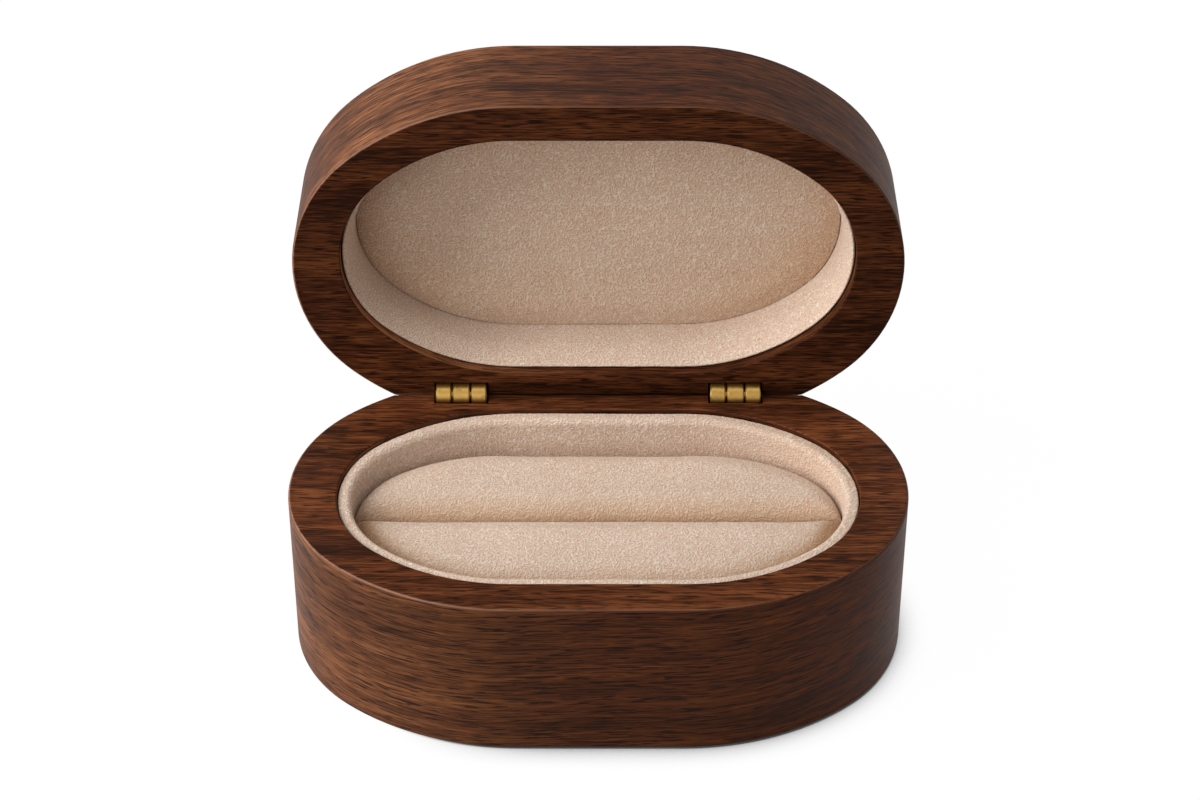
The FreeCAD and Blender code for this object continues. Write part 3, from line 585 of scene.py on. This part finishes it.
# Ring rolls: rounded along the slit and along the wall, cut to the oval, and swelled as cloth over foam
roll = {
    "inset": 15.45, "slit": 0.3, "crest": 5.9, "floor": 36.6, "wallRound": 11.5, "tipRound": 5.0,
    "rearSlitRound": 5.0, "frontSlitRound": 3.6,
    "rearPaintedShade": {"slit": [(0.36, 5.2)], "wall": [(-0.05, 6.0)]},
    "frontPaintedShade": {"slit": [(-0.09, 6.0)], "wall": [(1.7, 2.3), (0.12, 14.0)]},
    "darkest": 0.62,
    "stations": 92, "topSteps": 34, "wallSteps": 9, "tipTurn": 2.0, "crown": 0.3, "crownWidth": 20.0,
    "startDrop": 0.4, "heldBelow": 20.0, "blend": 4.0, "sideMove": 0.1, "smoothing": 17,
    "swell": {"scale": 10.0, "mass": 0.3, "stiffness": 15.0, "bending": 0.5, "pressure": 4.0, "frames": 20,
              "cap": 0.7},
    "nap": [(12.0, 0.06, 31), (1.6, 0.025, 32), (0.8, 0.025, 33)],
}


def edgeDrop(distance, rounding):
    # How far a quarter-round edge lies below its flat top
    reach = np.clip(rounding - distance, 0, rounding)
    return rounding - np.sqrt(np.maximum(rounding ** 2 - reach ** 2, 0))


def rollSection(x, room, slitRound):
    # Foot, slit wall, top and outer wall of every station; the top drops by the slit's round and the wall's round
    slit, floor, power = roll["slit"], roll["floor"], roll["blend"]
    width = (room - slit)[:, None]
    x = x[:, None]
    run = np.clip((np.abs(x) - flatHalf) / (endHalf - roll["inset"]), 0, 1)
    share = (1 - np.cos(np.linspace(0, math.pi, roll["topSteps"])))[None, :] / 2
    topY = slit + width * share
    wallGap = np.maximum(ovalRoom(x, topY) - roll["inset"], 0)
    drop = edgeDrop(topY - slit, slitRound) ** power
    drop = drop + edgeDrop(wallGap, roll["wallRound"] + (roll["tipRound"] - roll["wallRound"]) * run) ** power
    crown = roll["crown"] * np.sin(share * math.pi) * np.clip(width / roll["crownWidth"], 0, 1)
    topDepth = roll["crest"] + roll["startDrop"] + drop ** (1 / power) - crown
    step = np.linspace(0, 1, roll["wallSteps"])[None, :]
    wall, foot = step[:, :-1], step[:, :-4:2]
    wallY, floorDepth = np.ones_like(wall), np.full((len(width), foot.shape[1]), floor)
    outer = room[:, None]
    middle = slit + width / 2
    y = [middle + (slit - middle) * foot, slit * np.ones_like(width) * wallY, topY[:, :-1],
         outer * wallY, outer + (middle - outer) * foot]
    depth = [floorDepth, floor + (topDepth[:, :1] - floor) * wall, topDepth[:, :-1],
             topDepth[:, -1:] + (floor - topDepth[:, -1:]) * wall, floorDepth]
    return np.concatenate(y, 1), np.concatenate(depth, 1)


def makeRoll(name, node, direction, slitRound, paintedLight, seed):
    turn = math.radians(roll["tipTurn"])
    path = ovalPath(roll["stations"], roll["inset"], turn, math.pi - turn, closed=False)
    x, room = [column[:, 0] for column in ovalPoints(path, roll["inset"])]
    y, depth = rollSection(x, room, slitRound)
    rows, columns = y.shape
    points = np.stack([np.broadcast_to(x[:, None], y.shape), ringBox["pocketY"] + direction * y,
                       ringBox["baseHeight"] - depth], -1).reshape(-1, 3)
    # Each end is closed by quads across the section, and a triangle at its odd point
    pair = np.arange(columns // 2)
    mate = columns - 1 - pair
    cap = np.stack([pair[:-1], pair[1:], mate[1:], mate[:-1]], -1)
    cap = np.concatenate([cap, [[pair[-1], columns // 2, mate[-1], mate[-1]]]])
    faces = np.concatenate([gridFaces(rows, columns, closeRows=False), cap,
                            cap[:, ::-1] + (rows - 1) * columns])
    faces = outward(points, faces)
    held = ringBox["baseHeight"] - points[:, 2] > roll["heldBelow"]
    swollen = inflate(points, faces, held, roll["swell"])
    # The pocket keeps the cushion off its walls, so only the crown rises; the rise is smoothed along the roll
    moved = (swollen - points).reshape(rows, columns, 3)
    moved[..., :2] = np.clip(moved[..., :2], -roll["sideMove"], roll["sideMove"])
    count = roll["smoothing"]
    spread = np.hanning(count)[:, None, None] / np.hanning(count).sum()
    padded = np.concatenate([np.repeat(moved[:1], count // 2, 0), moved, np.repeat(moved[-1:], count // 2, 0)])
    moved = sum(spread[number] * padded[number:number + rows] for number in range(count))
    mesh = subdivide(makeMesh(name, points + moved.reshape(-1, 3), faces), 2)
    raiseNap(mesh, [(wavelength, height, number + seed) for wavelength, height, number in roll["nap"]])
    # Painted shade in the creases: darker towards the slit on the rear roll and towards the wall on the front roll: one
    # less a sum of exponentials of the distance
    finished = meshPoints(mesh)
    y = np.abs(finished[:, 1] - ringBox["pocketY"])
    away = {"slit": np.maximum(y - roll["slit"], 0),
            "wall": np.maximum(ovalRoom(finished[:, 0], y) - roll["inset"], 0)}
    fall = sum(depth * np.exp(-away[side] / reach) for side in away for depth, reach in paintedLight[side])
    paintLightAndShade(mesh, np.maximum(1 - fall, roll["darkest"]))
    piece = addPiece(name, mesh, suedeNap)
    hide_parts(node + "_suede", node + "_foam")
    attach(piece, "base")


makeRoll("rearRoll", "rear_roll", 1, roll["rearSlitRound"], roll["rearPaintedShade"], 0)
makeRoll("frontRoll", "front_roll", -1, roll["frontSlitRound"], roll["frontPaintedShade"], 50)
print("ring rolls made")


# Lid pad: scaled ovals from a middle point out to a rounded edge, down the skirt and back over the card
pad = {
    "inset": 14.55, "face": 18.5, "floor": 25.1, "cardFace": 24.25, "cardInset": 15.75, "rounding": 0.9,
    "steps": 150, "rings": 18, "backStride": 4, "startDrop": 0.5, "hem": 1.5, "heldMargin": 0.5,
    "paintedLight": ((0, 0.3, 0.55, 0.8, 1), (0.88, 0.91, 1.01, 1.06, 1.15)), "endPaintedShade": 0.11, "endAt": 50.0,
    "swell": {"scale": 10.0, "mass": 0.3, "stiffness": 15.0, "bending": 0.5, "pressure": 2.0, "frames": 20,
              "cap": 0.9},
    "nap": [(16.0, 0.08, 71), (1.6, 0.03, 72), (0.8, 0.03, 73)],
}


def makePad():
    path = ovalPath(pad["steps"], pad["inset"])
    bend = np.linspace(0, math.pi / 2, 5)
    edgeInset = pad["inset"] + pad["rounding"] * (1 - np.sin(bend))
    top = pad["face"] + pad["startDrop"]
    edgeDepth = top + pad["rounding"] * (1 - np.cos(bend))
    inset = np.concatenate([edgeInset, [pad["inset"], pad["inset"], pad["cardInset"], pad["cardInset"]]])
    depth = np.concatenate([edgeDepth, [pad["floor"] - pad["hem"], pad["floor"], pad["floor"], pad["cardFace"]]])
    x, y = ovalPoints(path, inset)
    scale = np.linspace(0, 1, pad["rings"] + 1)[1:-1]
    back = scale[::-pad["backStride"]]
    rimX, rimY = x[:, :1], y[:, :1]
    innerX, innerY = x[:, -1:], y[:, -1:]
    allX = np.concatenate([rimX * scale, x, innerX * back], 1)
    allY = np.concatenate([rimY * scale, y, innerY * back], 1)
    allDepth = np.concatenate([np.full(len(scale), top), depth, np.full(len(back), pad["cardFace"])])
    allDepth = np.broadcast_to(allDepth, allX.shape)
    rows, columns = allX.shape
    points = np.stack([allX, allY + ringBox["pocketY"] - ringBox["hingeY"], ringBox["rimOffset"] + allDepth],
                      -1).reshape(-1, 3)
    middle = [[0, ringBox["pocketY"] - ringBox["hingeY"], ringBox["rimOffset"] + depthAt]
              for depthAt in (top, pad["cardFace"])]
    points = openLid(np.concatenate([points, middle]))
    row = np.arange(rows)
    after = (row + 1) % rows
    count = rows * columns
    poles = [np.stack([after * columns, row * columns, np.full(rows, count), np.full(rows, count)], -1),
             np.stack([row * columns + columns - 1, after * columns + columns - 1, np.full(rows, count + 1),
                       np.full(rows, count + 1)], -1)]
    faces = np.concatenate([gridFaces(rows, columns, closeColumns=False), *poles])
    held = np.concatenate([(allDepth > top + pad["heldMargin"]).ravel(), [False, True]])
    swollen = inflate(points, faces, held, pad["swell"])
    mesh = subdivide(makeMesh("lidPad", swollen, faces), 2)
    raiseNap(mesh, pad["nap"])
    # Painted light and shade: brighter towards the top and darker towards both ends
    finished = meshPoints(mesh)
    height = (finished[:, 2] - finished[:, 2].min()) / np.ptp(finished[:, 2])
    paintLightAndShade(mesh, np.interp(height, *pad["paintedLight"]) * (1 - pad["endPaintedShade"] * (finished[:, 0] / pad["endAt"]) ** 2))
    piece = addPiece("lidPad", mesh, padNapPaintedBounce)
    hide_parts("lid_pad_suede", "lid_pad_foam")
    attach(piece, "lid")


makePad()
print("lid pad made")


# Floor, light and camera
studio = {
    "floorSeen": 0.03, "floorBounce": 0.20, "floorGlow": 0.98, "paintedShadow": 6.0, "paintedShadowPower": 3.5,
    "paintedShadowReach": 0.012, "paintedShadowFade": (-0.055, -0.005), "darkest": 0.05, "floorHalf": 3.0,
    "worldLight": 0.315, "target": (0, 0, 0.05),
    "key": {"place": (-0.95, -0.30, 1.15), "size": 0.9, "power": 10.6},
    "side": {"place": (-1.25, -0.25, 0.55), "size": 0.8, "power": 12.4},
    "front": {"place": (-0.62, -1.12, 0.65), "size": 0.9, "power": 5.1},
    "top": {"place": (0.05, 0.10, 1.50), "size": 1.0, "power": 2.6},
}


def makeFloor():
    # Flat sheet under the box. Camera and mirror rays see it near white, with a painted shadow: less a power of how
    # much the box covers it close by, which fades out on the lit left; other rays meet a plain matt grey
    half = studio["floorHalf"]
    mesh = bpy.data.meshes.new("floor")
    mesh.from_pydata([(-half, -half, 0), (half, -half, 0), (half, half, 0), (-half, half, 0)], [], [(0, 1, 2, 3)])
    material, make = newMaterial("paleFloor")
    seen = seenRay(make)
    tone = mixColor(make, seen, (studio["floorBounce"],) * 3, (studio["floorSeen"],) * 3)
    matt = make("BsdfDiffuse", {"Color": tone}).outputs[0]
    # Painted contact shadow, from how much the box covers the floor close by
    near = make("AmbientOcclusion", {"Distance": studio["paintedShadowReach"]}).outputs["AO"]
    paintedShade = combine(make, "POWER", combine(make, "SUBTRACT", 1.0, near), studio["paintedShadowPower"])
    x = make("SeparateXYZ", {0: make("TexCoord").outputs["Object"]}).outputs[0]
    paintedShade = combine(make, "MULTIPLY", paintedShade, between(make, x, 0.0, studio["paintedShadow"], *studio["paintedShadowFade"]))
    level = combine(make, "MAXIMUM", combine(make, "SUBTRACT", studio["floorGlow"], paintedShade), studio["darkest"])
    glow = make("Emission", {"Strength": combine(make, "MULTIPLY", seen, level)}).outputs[0]
    make("OutputMaterial", {"Surface": make("AddShader", {0: matt, 1: glow}).outputs[0]})
    addPiece("floor", mesh, material)


def makeWorld():
    # White to the camera and in reflections, plain soft light for everything else
    world = bpy.data.worlds.new("studioWorld")
    scene.world = world
    make = nodeMaker(world)
    strength = between(make, seenRay(make), studio["worldLight"], 1.0, 0.0, 1.0, "LINEAR")
    background = make("Background", {"Color": (1, 1, 1, 1), "Strength": strength})
    make("OutputWorld", {"Surface": background.outputs[0]})


def aim(item, place, target):
    item.location = place
    item.rotation_euler = (Vector(target) - Vector(place)).to_track_quat("-Z", "Y").to_euler()


def makeLamp(name):
    lamp = bpy.data.lights.new(name, "AREA")
    lamp.shape = "SQUARE"
    lamp.size = studio[name]["size"]
    lamp.energy = studio[name]["power"]
    item = bpy.data.objects.new(name, lamp)
    scene.collection.objects.link(item)
    aim(item, studio[name]["place"], studio["target"])


camera = {"elevation": 37.87, "distance": 0.75075, "height": 0.07105, "lens": 95.13, "shiftX": 0.00138}


def makeCamera():
    lens = bpy.data.cameras.new("camera")
    lens.sensor_width = 36.0
    lens.lens = camera["lens"]
    lens.shift_x = camera["shiftX"]
    lens.clip_start, lens.clip_end = 0.01, 20.0
    item = bpy.data.objects.new("camera", lens)
    scene.collection.objects.link(item)
    tilt = math.radians(camera["elevation"])
    place = (0, -camera["distance"] * math.cos(tilt), camera["height"] + camera["distance"] * math.sin(tilt))
    aim(item, place, (0, 0, camera["height"]))
    scene.camera = item


makeFloor()
makeWorld()
for lampName in ("key", "side", "front", "top"):
    makeLamp(lampName)
makeCamera()
scene.view_settings.view_transform = "Standard"
print("floor, light and camera set")
